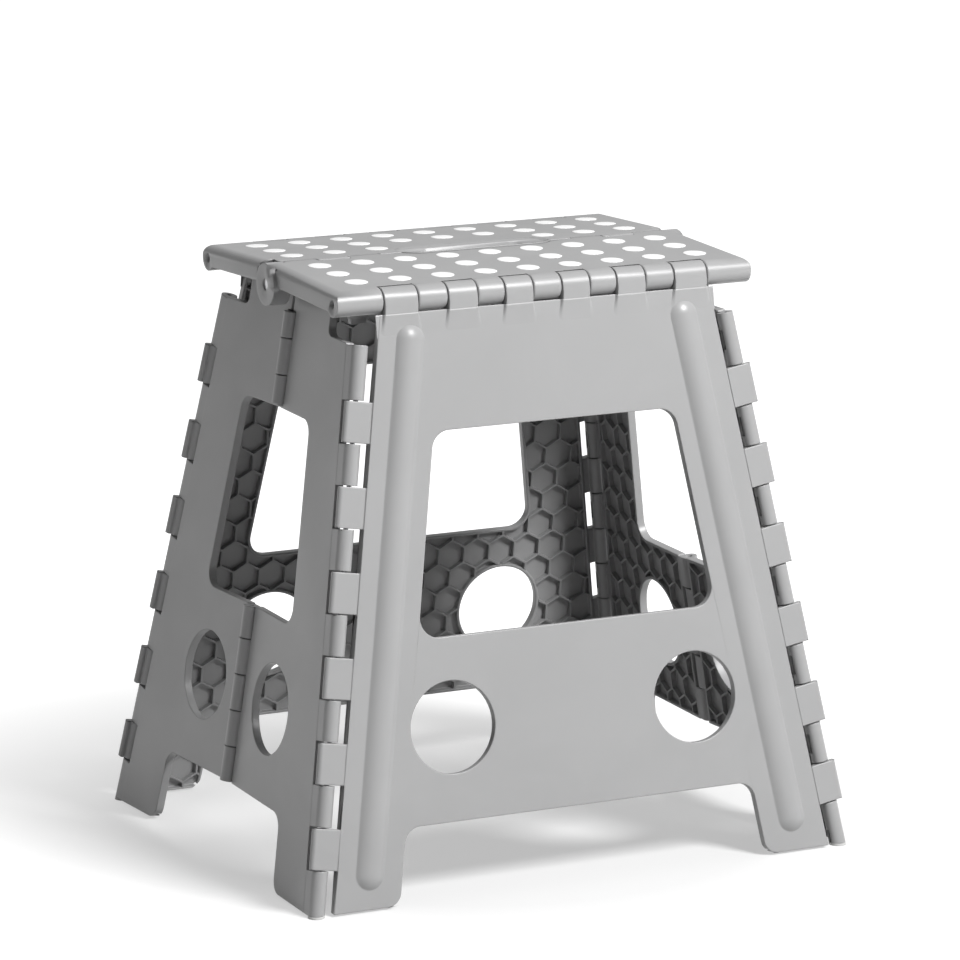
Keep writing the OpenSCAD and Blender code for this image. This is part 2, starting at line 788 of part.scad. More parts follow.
module edge_pin() {
    length = step_len - 2 * edge_bore_depth;
    along_x(-length / 2, length / 2) circle(pin_r);
}

module front_edge_pin() {
    color(steel) place_leaf() edge_pin();
}

module back_edge_pin() {
    color(steel) mirror([0, 1, 0]) place_leaf() edge_pin();
}

module corner_pin() {
    length = (corner_pin_top - corner_pin_low) / corner_dir[2];
    side_corner(corner_pin_top) down_y(length) circle(pin_r);
}

module left_front_corner_pin() {
    color(steel) place_side() corner_pin();
}

module left_back_corner_pin() {
    color(steel) mirror([0, 1, 0]) place_side() corner_pin();
}

module right_front_corner_pin() {
    color(steel) mirror([1, 0, 0]) place_side() corner_pin();
}

module right_back_corner_pin() {
    color(steel) mirror([1, 0, 0]) mirror([0, 1, 0]) place_side() corner_pin();
}

module fold_pins() {
    for (list = [upper_folds, lower_folds]) let (low = list[0], top = list[len(list) - 1])
        side_fold(top - pin_short) down_y((top - low - 2 * pin_short) / cos(side_lean)) circle(pin_r);
}

module left_side_fold_pins() {
    color(steel) place_side() fold_pins();
}

module right_side_fold_pins() {
    color(steel) mirror([1, 0, 0]) place_side() fold_pins();
}

module foot_pad() {
    intersection() {
        place_side() side_corner(first_tab_z) down_y(far / 4) circle(knuckle_r);
        translate([-far / 2, -far / 2, 0]) cube([far, far, foot_lift]);
    }
}

module left_front_foot_pad() {
    color(rubber) foot_pad();
}

module left_back_foot_pad() {
    color(rubber) mirror([0, 1, 0]) foot_pad();
}

module right_front_foot_pad() {
    color(rubber) mirror([1, 0, 0]) foot_pad();
}

module right_back_foot_pad() {
    color(rubber) mirror([1, 0, 0]) mirror([0, 1, 0]) foot_pad();
}

front_panel();
back_panel();
left_side_front();
left_side_back();
right_side_front();
right_side_back();
step_front_leaf();
step_back_leaf();
front_panel_ribs();
back_panel_ribs();
left_side_front_ribs();
left_side_back_ribs();
right_side_front_ribs();
right_side_back_ribs();
step_front_ribs();
step_back_ribs();
front_leaf_dots();
back_leaf_dots();
centre_hinge_pins();
front_edge_pin();
back_edge_pin();
left_front_corner_pin();
left_back_corner_pin();
right_front_corner_pin();
right_back_corner_pin();
left_side_fold_pins();
right_side_fold_pins();
left_front_foot_pad();
left_back_foot_pad();
right_front_foot_pad();
right_back_foot_pad();
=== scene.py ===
import json
import math

import bmesh
import bpy
import numpy as np
from mathutils import Matrix


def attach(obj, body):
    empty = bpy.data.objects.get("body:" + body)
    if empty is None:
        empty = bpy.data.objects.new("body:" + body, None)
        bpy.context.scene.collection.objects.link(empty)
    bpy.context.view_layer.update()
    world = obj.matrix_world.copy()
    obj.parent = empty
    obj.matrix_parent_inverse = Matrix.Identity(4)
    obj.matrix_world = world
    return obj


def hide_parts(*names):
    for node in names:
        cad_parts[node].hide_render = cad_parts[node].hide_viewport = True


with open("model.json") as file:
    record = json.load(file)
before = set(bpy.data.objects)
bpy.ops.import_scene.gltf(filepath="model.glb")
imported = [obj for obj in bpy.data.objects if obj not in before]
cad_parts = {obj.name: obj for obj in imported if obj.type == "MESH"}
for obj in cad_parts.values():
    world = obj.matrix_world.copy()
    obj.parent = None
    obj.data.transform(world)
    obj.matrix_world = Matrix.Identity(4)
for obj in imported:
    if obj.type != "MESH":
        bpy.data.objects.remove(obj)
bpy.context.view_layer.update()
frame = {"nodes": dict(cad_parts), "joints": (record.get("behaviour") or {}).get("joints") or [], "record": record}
nodes = frame["nodes"]

# Viewpoint. The stool is seen from its front left corner, a little above the step, through a
# long lens from about three and a half metres. The solve of the photograph's own edges gave
# the angles and the distance.
VIEW_TURN, VIEW_RISE = math.radians(-26.478), math.radians(12.062)
VIEW_DISTANCE, VIEW_RIGHT, VIEW_UP, VIEW_HEIGHT = 3.5847, 0.003448, 0.039347, 0.195
LENS_MM, SENSOR_MM, VIEW_END = 201.46, 36.0, 50.0


def view_matrix():
    """Camera axes from turn and rise: right is level, back points from the stool to the camera."""
    right = np.array([math.cos(VIEW_TURN), math.sin(VIEW_TURN), 0.0])
    back = np.array([math.sin(VIEW_TURN) * math.cos(VIEW_RISE), -math.cos(VIEW_TURN) * math.cos(VIEW_RISE),
                     math.sin(VIEW_RISE)])
    up = np.cross(back, right)
    place = np.array([0, 0, VIEW_HEIGHT]) + VIEW_DISTANCE * back + VIEW_RIGHT * right + VIEW_UP * up
    matrix = np.eye(4)
    matrix[:3, :4] = np.column_stack([right, up, back, place])
    return matrix


camera_data = bpy.data.cameras.new("camera")
camera_data.lens, camera_data.sensor_width = LENS_MM, SENSOR_MM
camera_data.clip_end = VIEW_END
camera = bpy.data.objects.new("camera", camera_data)
bpy.context.scene.collection.objects.link(camera)
camera.matrix_world = Matrix(view_matrix().tolist())
bpy.context.scene.camera = camera
bpy.context.scene.view_settings.view_transform = "Standard"

# Plates and leaves of the step. Each is one injection-moulded piece of light grey polypropylene with a fine satin
# grain, slightly mottled where the melt flowed, and paler along its edges, partly rubbed where they get handled
# and partly as a painted highlight.
MM = 0.001
PITS_PER_M, WAVES_PER_M, FLOWS_PER_M, PATCHES_PER_M = 2200.0, 60.0, 14.0, 260.0
PIT_SHARE, EDGE_WIDTH, EDGE_GAIN, EDGE_SAMPLES = 0.35, 1.2 * MM, 6.0, 6


def new_group(name, inputs, outputs):
    """An empty shader group with the named (kind, name, default) sockets; returns it with its two ends."""
    group = bpy.data.node_groups.new(name, "ShaderNodeTree")
    for kind, socket, value in inputs:
        group.interface.new_socket(name=socket, in_out="INPUT", socket_type=kind).default_value = value
    for kind, socket in outputs:
        group.interface.new_socket(name=socket, in_out="OUTPUT", socket_type=kind)
    return group, group.nodes.new("NodeGroupInput"), group.nodes.new("NodeGroupOutput")


def put(tree, kind, links=None, **settings):
    """A node of that kind with its settings; links maps an input's name or number to a value or a socket."""
    node = tree.nodes.new(kind)
    for key, value in settings.items():
        setattr(node, key, value)
    for socket, value in (links or {}).items():
        if isinstance(value, bpy.types.NodeSocket):
            tree.links.new(value, node.inputs[socket])
        else:
            node.inputs[socket].default_value = value
    return node


def math_node(tree, operation, *values):
    """One sum on values or sockets, such as ADD or MULTIPLY."""
    return put(tree, "ShaderNodeMath", dict(enumerate(values)), operation=operation).outputs[0]


# Grain: fine pits on wide shallow waves as one height, and a slow mottle, in the piece's own metres
grain, grain_in, grain_out = new_group(
    "moulded_grain",
    [("NodeSocketFloat", "Pits per metre", PITS_PER_M), ("NodeSocketFloat", "Waves per metre", WAVES_PER_M)],
    [("NodeSocketFloat", "Height"), ("NodeSocketFloat", "Mottle")])
grain_place = put(grain, "ShaderNodeTexCoord").outputs["Object"]
pits = put(grain, "ShaderNodeTexNoise", {"Vector": grain_place, "Scale": grain_in.outputs["Pits per metre"],
                                         "Detail": 2.0, "Roughness": 0.6}).outputs["Fac"]
waves = put(grain, "ShaderNodeTexNoise", {"Vector": grain_place, "Scale": grain_in.outputs["Waves per metre"],
                                          "Detail": 2.0, "Roughness": 0.45}).outputs["Fac"]
flow = put(grain, "ShaderNodeTexNoise", {"Vector": grain_place, "Scale": FLOWS_PER_M, "Detail": 3.0,
                                         "Roughness": 0.55, "Distortion": 0.6}).outputs["Fac"]
height = math_node(grain, "ADD", math_node(grain, "MULTIPLY", pits, PIT_SHARE), waves)
grain.links.new(height, grain_out.inputs["Height"])
grain.links.new(flow, grain_out.inputs["Mottle"])

# Edge paleness: how far the rounded normal departs from the true one, so it is strong along edges and 0 on faces,
# broken up by noise. It lightens the colour along edges, partly as rubbed edges and partly as a painted highlight.
wear_and_highlight, wear_highlight_in, wear_highlight_out = new_group(
    "edge_wear_and_highlight",
    [("NodeSocketFloat", "Width", EDGE_WIDTH), ("NodeSocketFloat", "Breakup per metre", PATCHES_PER_M)],
    [("NodeSocketFloat", "Edge"), ("NodeSocketVector", "Rounded normal")])
rounded = put(wear_and_highlight, "ShaderNodeBevel", {"Radius": wear_highlight_in.outputs["Width"]}, samples=EDGE_SAMPLES).outputs[0]
true_normal = put(wear_and_highlight, "ShaderNodeNewGeometry").outputs["True Normal"]
likeness = put(wear_and_highlight, "ShaderNodeVectorMath", {0: rounded, 1: true_normal},
               operation="DOT_PRODUCT").outputs["Value"]
bent = math_node(wear_and_highlight, "MULTIPLY", math_node(wear_and_highlight, "SUBTRACT", 1.0, likeness), EDGE_GAIN)
wear_highlight_place = put(wear_and_highlight, "ShaderNodeTexCoord").outputs["Object"]
patches = put(wear_and_highlight, "ShaderNodeTexNoise", {"Vector": wear_highlight_place, "Detail": 3.0,
                                           "Scale": wear_highlight_in.outputs["Breakup per metre"]}).outputs["Fac"]
worn_lit_edge = math_node(wear_and_highlight, "MULTIPLY", math_node(wear_and_highlight, "MINIMUM", bent, 1.0), patches)
wear_and_highlight.links.new(worn_lit_edge, wear_highlight_out.inputs["Edge"])
wear_and_highlight.links.new(rounded, wear_highlight_out.inputs["Rounded normal"])


def add_group(tree, group, **values):
    """Places a shader group in a material; each value goes to the input of that name."""
    node = put(tree, "ShaderNodeGroup", node_tree=group)
    for name, value in values.items():
        node.inputs[name.replace("_", " ")].default_value = value
    return node


def mix_colour(tree, share, first, second):
    """Mixes two colours: a Mix node takes them in its inputs 6 and 7 and gives the result in output 2."""
    return put(tree, "ShaderNodeMix", {"Factor": share, 6: first, 7: second}, data_type="RGBA").outputs[2]


def ramp_value(tree, value, low, high, first, second):
    """Maps low..high of a value to first..second."""
    return put(tree, "ShaderNodeMapRange", {0: value, 1: low, 2: high, 3: first, 4: second}).outputs[0]


MOTTLE_RANGE, SATIN_RANGE, SATIN_SPREAD = (0.35, 0.65), (0.3, 0.7), 0.04
EDGE_SHARE, GRAIN_DEPTH = 0.55, 0.4 * MM


def moulded(name, colour, dark, pale, rough, bump, wave=WAVES_PER_M, edge_width=EDGE_WIDTH):
    """Moulded plastic: mottled between two colours, paler along edges as rubbing and as a painted highlight,
    satin, with fine grain.
    """
    material = bpy.data.materials.new(name)
    material.use_nodes = True
    tree = material.node_tree
    shader = tree.nodes["Principled BSDF"]
    texture = add_group(tree, grain, Waves_per_metre=wave)
    mottle = texture.outputs["Mottle"]
    worn_and_lit = add_group(tree, wear_and_highlight, Width=edge_width)
    mottled = mix_colour(tree, ramp_value(tree, mottle, *MOTTLE_RANGE, 0.0, 1.0), dark, colour)
    # Edges lightened: partly rubbed, partly a painted highlight
    wear_and_highlight_share = math_node(tree, "MULTIPLY", worn_and_lit.outputs["Edge"], EDGE_SHARE)
    satin = ramp_value(tree, mottle, *SATIN_RANGE, rough + SATIN_SPREAD, rough - SATIN_SPREAD)
    bumped = put(tree, "ShaderNodeBump", {"Height": texture.outputs["Height"], "Strength": bump,
                                          "Distance": GRAIN_DEPTH, "Normal": worn_and_lit.outputs["Rounded normal"]})
    tree.links.new(mix_colour(tree, wear_and_highlight_share, mottled, pale), shader.inputs["Base Color"])
    tree.links.new(satin, shader.inputs["Roughness"])
    tree.links.new(bumped.outputs[0], shader.inputs["Normal"])
    return material


def dress(material, *names):
    """Gives the CAD nodes of those names one material."""
    for name in names:
        for slot in nodes[name].material_slots:
            slot.material = material


# The third colour goes along the edges: rubbed edges and a painted highlight
GREY, GREY_DARK, GREY_RUBBED_LIT = (0.375, 0.375, 0.377, 1), (0.357, 0.357, 0.359, 1), (0.46, 0.46, 0.462, 1)
PANELS = ["front_panel", "back_panel"]
SIDES = ["left_side_front", "left_side_back", "right_side_front", "right_side_back"]
LEAVES = ["step_front_leaf", "step_back_leaf"]
plate_grey = moulded("plate_grey", GREY, GREY_DARK, GREY_RUBBED_LIT, rough=0.36, bump=0.10)
dress(plate_grey, *PANELS, *SIDES, *LEAVES)
BODY_OF = {node: body for body, held in frame["record"]["behaviour"]["bodies"].items() for node in held}
SAME_POINT = 0.002 * MM
PANEL_RADIUS, RADIUS_STEPS, SHARP_FROM, FACE_WEIGHT = 0.45 * MM, 2, math.radians(38), 100


def moulded_copy(name, material):
    """Copy of a CAD node with its triangles joined, riding on the node's body in the node's place."""
    kit = bmesh.new()
    kit.from_mesh(nodes[name].data)
    bmesh.ops.remove_doubles(kit, verts=kit.verts, dist=SAME_POINT)
    mesh = bpy.data.meshes.new(name + "_moulded")
    kit.to_mesh(mesh)
    kit.free()
    mesh.polygons.foreach_set("use_smooth", np.ones(len(mesh.polygons), bool))
    mesh.materials.clear()
    mesh.materials.append(material)
    piece = bpy.data.objects.new(name + "_moulded", mesh)
    bpy.context.scene.collection.objects.link(piece)
    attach(piece, BODY_OF[name])
    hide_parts(name)
    return piece


def round_edges(piece, width, limit):
    """Rounds the piece's sharp edges by ANGLE, or its marked ones by WEIGHT, as the mould does."""
    rounding = piece.modifiers.new("mould_radius", "BEVEL")
    rounding.width, rounding.segments = width, RADIUS_STEPS
    rounding.limit_method, rounding.angle_limit = limit, SHARP_FROM
    rounding.use_clamp_overlap = False
    shading = piece.modifiers.new("face_normals", "WEIGHTED_NORMAL")
    shading.keep_sharp, shading.weight = True, FACE_WEIGHT


for panel in PANELS:
    round_edges(moulded_copy(panel, plate_grey), PANEL_RADIUS, "ANGLE")

# Feet of the knuckles along the upper edges of the two panels, moulded with them. Each knuckle
# runs down into the outer face on a foot that spreads as it gets thinner, so that the load goes
# into the wall.
leaf_hinge = next(joint for joint in frame["joints"] if joint["name"] == "front_leaf_hinge")
AXIS_Y, AXIS_Z = -leaf_hinge["pos_m"][1], leaf_hinge["pos_m"][2]
# A panel's lean, its outer face's distance from the hinge, and how deep a sheet dips under that face
PANEL_LEAN, PANEL_OUT, SHEET_SINK = math.radians(9), 5.4 * MM, 0.15 * MM
# Where each knuckle of a panel starts and ends, measured from the stool's middle to either side
KNUCKLE_RUNS = np.array([(10.75, 30.2), (50.6, 70.9), (92.8, 116.2)]) * MM
# A foot's ends, up the panel from the hinge of the step's edge, its rise, and the sheet's half length
FOOT_TOP, FOOT_LOW, FOOT_RISE, FEET_REACH = -9.2 * MM, -24.0 * MM, 2.4 * MM, 122 * MM
# The power of its rise, and how far it spreads beside the knuckle at its upper and lower end
FOOT_CURVE, FLARE_TOP, FLARE_LOW = 1.2, 0.9 * MM, 5.5 * MM
FEET_COLUMNS, FEET_ROWS = 611, 19


def grid_faces(rows, columns, flip):
    """Quads of a grid whose points are numbered row by row; flip turns them to face the other way."""
    first = (np.arange(rows - 1)[:, None] * columns + np.arange(columns - 1)).ravel()
    quads = np.column_stack([first, first + 1, first + columns + 1, first + columns])
    return quads[:, ::-1] if flip else quads


def panel_points(x, v, w, panel):
    """Places points given across, up and out of a panel's own plane; the back panel mirrors the front one."""
    up = np.array([0, math.sin(PANEL_LEAN), math.cos(PANEL_LEAN)])
    out = np.array([0, -math.cos(PANEL_LEAN), math.sin(PANEL_LEAN)])
    across = np.array([1, 0, 0])
    hinge = np.array([0, -AXIS_Y, AXIS_Z])
    points = hinge + x[..., None] * across + v[..., None] * up + w[..., None] * out
    points[..., 1] *= 1 if panel == "front_panel" else -1
    return points


def add_piece(name, points, faces, material, body):
    """New mesh piece from arrays of points and quads, smooth, riding on a body."""
    mesh = bpy.data.meshes.new(name)
    mesh.from_pydata(points.reshape(-1, 3).tolist(), [], faces.tolist())
    mesh.polygons.foreach_set("use_smooth", np.ones(len(mesh.polygons), bool))
    mesh.materials.append(material)
    piece = bpy.data.objects.new(name, mesh)
    bpy.context.scene.collection.objects.link(piece)
    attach(piece, body)
    return piece


def knuckle_feet(panel):
    """Sheet over the panel's upper edge: it rises as a power of the way up where a knuckle stands, and falls
    smoothly to just under the face beside it, over a width that grows on the way down."""
    x = np.linspace(-FEET_REACH, FEET_REACH, FEET_COLUMNS)
    v = np.append(np.linspace(FOOT_LOW, FOOT_TOP, FEET_ROWS), FOOT_TOP)
    way = (v - FOOT_LOW) / (FOOT_TOP - FOOT_LOW)
    outside = np.maximum(KNUCKLE_RUNS[:, 0, None] - abs(x), abs(x) - KNUCKLE_RUNS[:, 1, None]).min(axis=0)
    flare = FLARE_LOW + (FLARE_TOP - FLARE_LOW) * way
    fade = np.clip(outside / flare[:, None], 0, 1)
    fade = 1 - fade * fade * (3 - 2 * fade)
    w = PANEL_OUT - SHEET_SINK + FOOT_RISE * way[:, None] ** FOOT_CURVE * fade
    w[-1] = PANEL_OUT - SHEET_SINK
    points = panel_points(*np.broadcast_arrays(x, v[:, None], w), panel)
    faces = grid_faces(len(v), len(x), panel == "back_panel")
    return add_piece(panel + "_knuckle_feet", points, faces, plate_grey, panel)


# Upper ends of the long beads on the two panels, moulded with them: each bead runs on a little
# past the solid's end, which is placed across and up from the hinge, and closes in the same
# shallow dome.
BEAD_END_X, BEAD_END_V, BEAD_SKEW = 99.9 * MM, -32.42 * MM, math.radians(9.28)
# Radius, height and half width of a bead's section, and how far the sheet reaches down and up from there
BEAD_ARC_R, BEAD_PROUD, BEAD_HALF_W = 14.0 * MM, 4.04 * MM, 10.2 * MM
BEAD_LESS, BEAD_MORE, BEAD_COLUMNS, BEAD_ROWS = -14 * MM, 6.4 * MM, 49, 55


def bead_top(panel, side):
    """Sheet over the bead's end: a circular arc across, and a dome past the new end; it dips under the face
    round it."""
    across, along = np.meshgrid(np.linspace(-BEAD_HALF_W, BEAD_HALF_W, BEAD_COLUMNS),
                                np.linspace(BEAD_LESS, BEAD_MORE + BEAD_HALF_W, BEAD_ROWS))
    reach = np.hypot(across, np.maximum(along - BEAD_MORE, 0))
    w = PANEL_OUT + BEAD_PROUD - BEAD_ARC_R + np.sqrt(np.maximum(BEAD_ARC_R ** 2 - reach ** 2, 0))
    w = np.maximum(w, PANEL_OUT - SHEET_SINK)
    x = side * (BEAD_END_X - along * math.sin(BEAD_SKEW) + across * math.cos(BEAD_SKEW))
    v = BEAD_END_V + along * math.cos(BEAD_SKEW) + across * math.sin(BEAD_SKEW)
    faces = grid_faces(*x.shape, (side < 0) == (panel == "front_panel"))
    name = panel + ("_right" if side > 0 else "_left") + "_bead_top"
    return add_piece(name, panel_points(x, v, w, panel), faces, plate_grey, panel)


for panel in PANELS:
    knuckle_feet(panel)
    bead_top(panel, -1)
    bead_top(panel, 1)

# Leaves of the step: the knuckles moulded along their outer edges have rounded ends, which open
# the gaps beside the panels' knuckles.
LEAF_KNUCKLE_ENDS = np.array([9.95, 31.0, 49.8, 71.7, 92.0, 117.0]) * MM
# Radii of the knuckles and of the hollows beside them, of the rounding, and what counts as the same place
EDGE_R, SCOOP_R, END_RADIUS, CLOSE = 8.5 * MM, 9.0 * MM, 0.8 * MM, 0.03 * MM


def rim_weights(mesh):
    """1 for each edge on the rim of a knuckle's end, which lies in one plane across the hinge, and 0 for the
    others. The points on a rim are told by their distance from the hinge's axis."""
    place = np.empty(3 * len(mesh.vertices))
    mesh.vertices.foreach_get("co", place)
    place = place.reshape(-1, 3)
    from_axis = np.hypot(abs(place[:, 1]) - AXIS_Y, place[:, 2] - AXIS_Z)
    at_end = (abs(abs(place[:, :1]) - LEAF_KNUCKLE_ENDS) < CLOSE).any(axis=1)
    on_rim = at_end & (from_axis > EDGE_R - CLOSE) & (from_axis < SCOOP_R - 2 * CLOSE)
    pairs = np.empty(2 * len(mesh.edges), int)
    mesh.edges.foreach_get("vertices", pairs)
    pairs = pairs.reshape(-1, 2)
    same_x = abs(place[pairs[:, 0], 0] - place[pairs[:, 1], 0]) < CLOSE
    return (on_rim[pairs].all(axis=1) & same_x).astype(np.float32)


for leaf in LEAVES:
    rounded_leaf = moulded_copy(leaf, plate_grey)
    leaf_mesh = rounded_leaf.data
    leaf_mesh.set_sharp_from_angle(angle=SHARP_FROM)
    rims = leaf_mesh.attributes.new("bevel_weight_edge", "FLOAT", "EDGE")
    rims.data.foreach_set("value", rim_weights(leaf_mesh))
    round_edges(rounded_leaf, END_RADIUS, "WEIGHT")

# Lugs: small blocks under the ends of the front leaf, moulded with it and drafted towards their
# lower ends. They keep the step from sliding along its hinge.
LEAF_TILT = math.radians(2)
# A lug's middle along the leaf, its outer side from the hinge, and its upper and lower end
LUG_X, LUG_IN, LUG_TOP, LUG_LOW = 124 * MM, 13.5 * MM, -5 * MM, -17.5 * MM
LUG_SIZE, LUG_DRAFT = np.array([12, 5]) * MM, 0.4 * MM
LUG_CORNERS = np.array([(-1, -1), (1, -1), (1, 1), (-1, 1)])
LUG_FACES = np.array([(3, 2, 1, 0), (4, 5, 6, 7), (0, 1, 5, 4), (1, 2, 6, 5), (2, 3, 7, 6), (3, 0, 4, 7)])


def leaf_points(x, y, z, leaf):
    """Places points given along, inward and up from a leaf's edge hinge, turned by the leaf's tilt; the back
    leaf mirrors the front one."""
    points = np.stack([x, -AXIS_Y + y * math.cos(LEAF_TILT) - z * math.sin(LEAF_TILT),
                       AXIS_Z + y * math.sin(LEAF_TILT) + z * math.cos(LEAF_TILT)], axis=-1)
    points[..., 1] *= 1 if leaf == "step_front_leaf" else -1
    return points


for side, side_name in ((-1, "left"), (1, "right")):
    lug_middle = np.array([side * LUG_X, LUG_IN + LUG_SIZE[1] / 2])
    lug_halves = np.array([LUG_SIZE / 2 - LUG_DRAFT, LUG_SIZE / 2])
    lug_x, lug_y = (lug_middle + lug_halves[:, None] * LUG_CORNERS).reshape(-1, 2).T
    lug_z = np.repeat([LUG_LOW, LUG_TOP], len(LUG_CORNERS))
    lug = add_piece("front_leaf_" + side_name + "_lug", leaf_points(lug_x, lug_y, lug_z, "step_front_leaf"),
                    LUG_FACES, plate_grey, "step_front_leaf")
    round_edges(lug, PANEL_RADIUS, "ANGLE")

# Ribs behind the plates: the same plastic straight from the mould, matter and a little darker
# because its walls keep the light out.
# The third colour goes along the rib edges: rubbed edges and a painted highlight
RIB, RIB_DARK, RIB_RUBBED_LIT = (0.35, 0.35, 0.352, 1), (0.325, 0.325, 0.327, 1), (0.40, 0.40, 0.402, 1)
rib_grey = moulded("rib_grey", RIB, RIB_DARK, RIB_RUBBED_LIT, rough=0.45, bump=0.12, wave=90.0, edge_width=0.5 * MM)
dress(rib_grey, *[name for name in nodes if name.endswith("_ribs")])

# Non-slip dots: white soft rubber, moulded into shallow seats in the tread and faintly domed.
# The back leaf has none where the surround of the finger slot lies.
# The third colour goes along the dots' edges: rubbed edges and a painted highlight
DOT_WHITE, DOT_SOILED, DOT_RUBBED_LIT = (0.97, 0.97, 0.968, 1), (0.95, 0.95, 0.946, 1), (0.97, 0.97, 0.966, 1)
dot_rubber = moulded("dot_rubber", DOT_WHITE, DOT_SOILED, DOT_RUBBED_LIT, rough=0.6, bump=0.2, wave=400.0,
                     edge_width=0.4 * MM)
TREAD_TOP = EDGE_R
DOT_PITCH_X, DOT_PITCH_Y, FIRST_DOT = 30.7 * MM, 27.7 * MM, 20.8 * MM
DOTS_LONG, DOTS_ACROSS, DOT_SIDES = 9, 3, 40
# Half section of a dot, as distances from its middle and heights above the tread
DOT_SECTION = np.array([(7.6, -0.30), (7.6, 0.10), (7.5, 0.20), (7.2, 0.27), (5.0, 0.33), (2.5, 0.36),
                        (0.0, 0.37)]) * MM


def domed_dots(leaf, has_slot):
    """Domed discs: a half section turned round each dot's middle, on rows and columns over the leaf."""
    column, row = np.meshgrid(np.arange(DOTS_LONG) - (DOTS_LONG - 1) / 2, np.arange(DOTS_ACROSS))
    by_slot = (row == DOTS_ACROSS - 1) & (abs(column) <= 1)
    kept = ~(by_slot & has_slot)
    middle_x, middle_y = column[kept] * DOT_PITCH_X, FIRST_DOT + row[kept] * DOT_PITCH_Y
    turn = np.linspace(0, 2 * math.pi, DOT_SIDES + 1)
    x = middle_x[:, None, None] + DOT_SECTION[None, :, 0, None] * np.cos(turn)
    y = middle_y[:, None, None] + DOT_SECTION[None, :, 0, None] * np.sin(turn)
    z = np.broadcast_to(TREAD_TOP + DOT_SECTION[None, :, 1, None], x.shape)
    body = "step_" + leaf + "_leaf"
    one = grid_faces(len(DOT_SECTION), DOT_SIDES + 1, leaf == "back")
    faces = np.concatenate([one + k * len(DOT_SECTION) * (DOT_SIDES + 1) for k in range(len(middle_x))])
    points = leaf_points(x, y, z, body)
    piece = add_piece(leaf + "_leaf_dots_domed", points, faces, dot_rubber, body)
    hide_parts(leaf + "_leaf_dots")


domed_dots("front", False)
domed_dots("back", True)

# Hinge pins: drawn steel wire, cut to length and pushed through the bores of the knuckles. The
# drawing leaves faint scratches in the steel.
STEEL_DULL, STEEL_BRIGHT = (0.50, 0.50, 0.51, 1), (0.66, 0.66, 0.67, 1)
SCRATCHES_ALONG, SCRATCHES_ACROSS = 60.0, 1500.0
STEEL_ROUGH, STEEL_SMOOTH = 0.42, 0.26


def drawn_steel(name):
    """Steel with fine scratches: noise stretched along the step's length, in colour and roughness."""
    material = bpy.data.materials.new(name)
    material.use_nodes = True
    tree = material.node_tree
    shader = tree.nodes["Principled BSDF"]
    steel_place = put(tree, "ShaderNodeTexCoord").outputs["Object"]
    stretch = (SCRATCHES_ALONG, SCRATCHES_ACROSS, SCRATCHES_ACROSS)
    drawn = put(tree, "ShaderNodeMapping", {"Vector": steel_place, "Scale": stretch}).outputs[0]
    scratches = put(tree, "ShaderNodeTexNoise", {"Vector": drawn, "Scale": 1.0, "Detail": 3.0}).outputs["Fac"]
    tree.links.new(mix_colour(tree, scratches, STEEL_DULL, STEEL_BRIGHT), shader.inputs["Base Color"])
    tree.links.new(ramp_value(tree, scratches, *SATIN_RANGE, STEEL_ROUGH, STEEL_SMOOTH),
                   shader.inputs["Roughness"])
    shader.inputs["Metallic"].default_value = 1.0
    return material


pin_steel = drawn_steel("pin_steel")
dress(pin_steel, *[name for name in nodes if "pin" in name])

# Foot pads: discs of pale soft rubber, pressed under the corner knuckles, scuffed by the floor, and paler along
# their edges, partly from rubbing and partly as a painted highlight.
PAD, PAD_SOILED, PAD_RUBBED_LIT = (0.62, 0.62, 0.61, 1), (0.52, 0.52, 0.51, 1), (0.7, 0.7, 0.69, 1)
pad_rubber = moulded("pad_rubber", PAD, PAD_SOILED, PAD_RUBBED_LIT, rough=0.7, bump=0.35, wave=300.0,
                     edge_width=0.6 * MM)
dress(pad_rubber, *[name for name in nodes if name.endswith("foot_pad")])

# Studio: a white floor that runs out of sight, darkened round the stool by a painted shadow, a surround that is
# brighter behind than in front, a strong soft lamp in front, above and to the right, and a weak one at the left.
FLOOR_HALF = 12.0
# Glow to the camera near the stool and far out; the weaker glow near the stool is painted shadow
FLOOR_SHADE, SHADOWED_LIFT_NEAR, LIFT_FAR = 0.46, 0.45, 0.95
NEAR_M, FAR_M = 0.20, 0.50
WHITE = (1, 1, 1, 1)
floor_mesh = bpy.data.meshes.new("floor")
floor_corners = [(-FLOOR_HALF, -FLOOR_HALF, 0), (FLOOR_HALF, -FLOOR_HALF, 0), (FLOOR_HALF, FLOOR_HALF, 0),
                 (-FLOOR_HALF, FLOOR_HALF, 0)]
floor_mesh.from_pydata(floor_corners, [], [(0, 1, 2, 3)])
floor = bpy.data.objects.new("floor", floor_mesh)
bpy.context.scene.collection.objects.link(floor)

# Floor paint: it takes the object's shadow, and glows to the camera, more the further out it lies, so that the
# weaker glow round the stool is a painted shadow
floor_paint = bpy.data.materials.new("floor_paint")
floor_paint.use_nodes = True
floor_tree = floor_paint.node_tree
floor_tree.nodes.clear()
rays = put(floor_tree, "ShaderNodeLightPath")
seen = math_node(floor_tree, "MAXIMUM", rays.outputs["Is Camera Ray"], rays.outputs["Is Glossy Ray"])
diffuse = put(floor_tree, "ShaderNodeBsdfDiffuse", {"Color": (FLOOR_SHADE, FLOOR_SHADE, FLOOR_SHADE, 1)})
floor_place = put(floor_tree, "ShaderNodeTexCoord").outputs["Object"]
away_m = put(floor_tree, "ShaderNodeVectorMath", {0: floor_place}, operation="LENGTH").outputs["Value"]
lift_with_painted_shadow = ramp_value(floor_tree, away_m, NEAR_M, FAR_M, SHADOWED_LIFT_NEAR, LIFT_FAR)
lift = put(floor_tree, "ShaderNodeEmission",
           {"Color": WHITE, "Strength": math_node(floor_tree, "MULTIPLY", seen, lift_with_painted_shadow)})
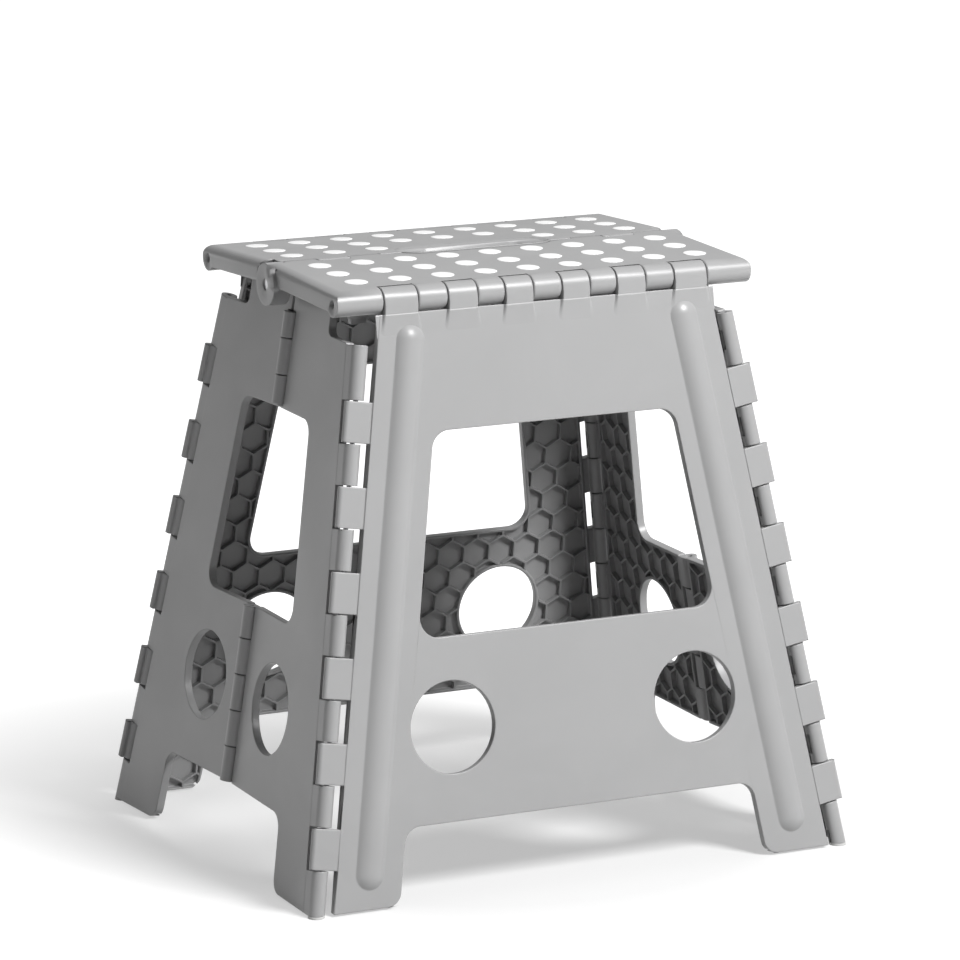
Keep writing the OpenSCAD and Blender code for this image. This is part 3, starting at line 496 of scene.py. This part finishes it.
both = put(floor_tree, "ShaderNodeAddShader", {0: diffuse.outputs[0], 1: lift.outputs[0]})
put(floor_tree, "ShaderNodeOutputMaterial", {"Surface": both.outputs[0]})
floor_mesh.materials.append(floor_paint)

# Surround: white to the camera, and to everything else a grey that brightens from front to back
SKY_FRONT, SKY_BACK = 0.08, 0.52
FRONT_HEADING, BACK_HEADING = -0.6, 0.9
world = bpy.data.worlds.new("surround")
bpy.context.scene.world = world
world.use_nodes = True
sky = world.node_tree
sky.nodes.clear()
direction = put(sky, "ShaderNodeTexCoord").outputs["Generated"]
heading = put(sky, "ShaderNodeSeparateXYZ", {0: direction}).outputs["Y"]
sky_level = ramp_value(sky, heading, FRONT_HEADING, BACK_HEADING, SKY_FRONT, SKY_BACK)
sky_rays = put(sky, "ShaderNodeLightPath")
sky_seen = math_node(sky, "MAXIMUM", sky_rays.outputs["Is Camera Ray"],
                     sky_rays.outputs["Is Transmission Ray"])
sky_strength = math_node(sky, "MAXIMUM", sky_level, sky_seen)
sky_glow = put(sky, "ShaderNodeBackground", {"Color": WHITE, "Strength": sky_strength})
put(sky, "ShaderNodeOutputWorld", {"Surface": sky_glow.outputs[0]})

# Lamps: places and sizes in metres
LAMP_AIM = np.array([0, 0, 0.2])
KEY_PLACE, KEY_SIZE, KEY_WATTS = np.array([0.95, -2.2, 2.35]), 1.0, 132.0
FILL_PLACE, FILL_SIZE, FILL_WATTS = np.array([-2.4, 0.6, 1.0]), 1.4, 1.0


def soft_lamp(name, place, size, power):
    """Square area lamp at a point in metres, turned so that its face looks at the stool."""
    data = bpy.data.lights.new(name, "AREA")
    data.shape, data.size, data.energy = "SQUARE", size, power
    lamp = bpy.data.objects.new(name, data)
    bpy.context.scene.collection.objects.link(lamp)
    away = (place - LAMP_AIM) / np.linalg.norm(place - LAMP_AIM)
    level = np.cross([0.0, 0.0, 1.0], away)
    level /= np.linalg.norm(level)
    turn = np.eye(4)
    turn[:3, :4] = np.column_stack([level, np.cross(away, level), away, place])
    lamp.matrix_world = Matrix(turn.tolist())


soft_lamp("key_lamp", KEY_PLACE, KEY_SIZE, KEY_WATTS)
soft_lamp("fill_lamp", FILL_PLACE, FILL_SIZE, FILL_WATTS)
